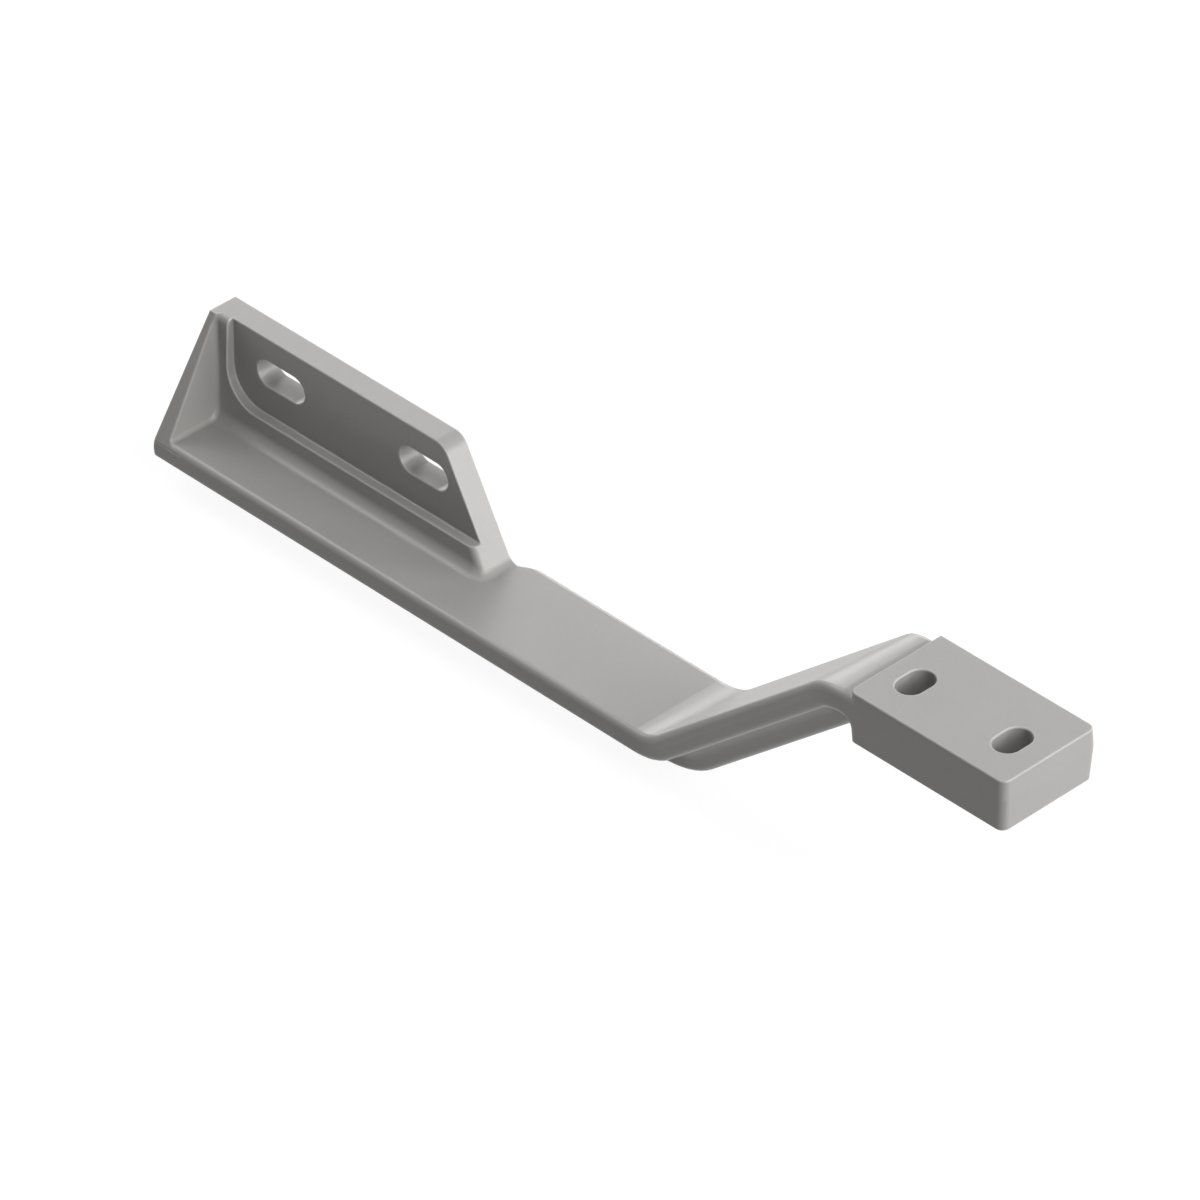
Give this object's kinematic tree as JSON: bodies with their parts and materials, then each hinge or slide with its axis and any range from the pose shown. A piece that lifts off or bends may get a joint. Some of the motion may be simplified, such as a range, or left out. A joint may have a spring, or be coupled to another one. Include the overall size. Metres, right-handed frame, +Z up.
{
  "type": "forged support brace",
  "caption": "Forged brace with a slotted wall and gusset at its low end, a ribbed arm that ramps up and sideways, and a slotted block at its high end.",
  "frame": {"origin": "middle of the wall's two slots, on the machined back face of the wall", "axes": "+X along the brace from the wall end to the block, +Y out of the wall's back towards what it bolts to, +Z up, out of the block's top face"},
  "size_m": [0.5654, 0.0822, 0.1454],
  "materials": {
    "forged_steel": "satin"
  },
  "bodies": {
    "root": {"support_brace": "forged_steel"}
  },
  "joints": []
}
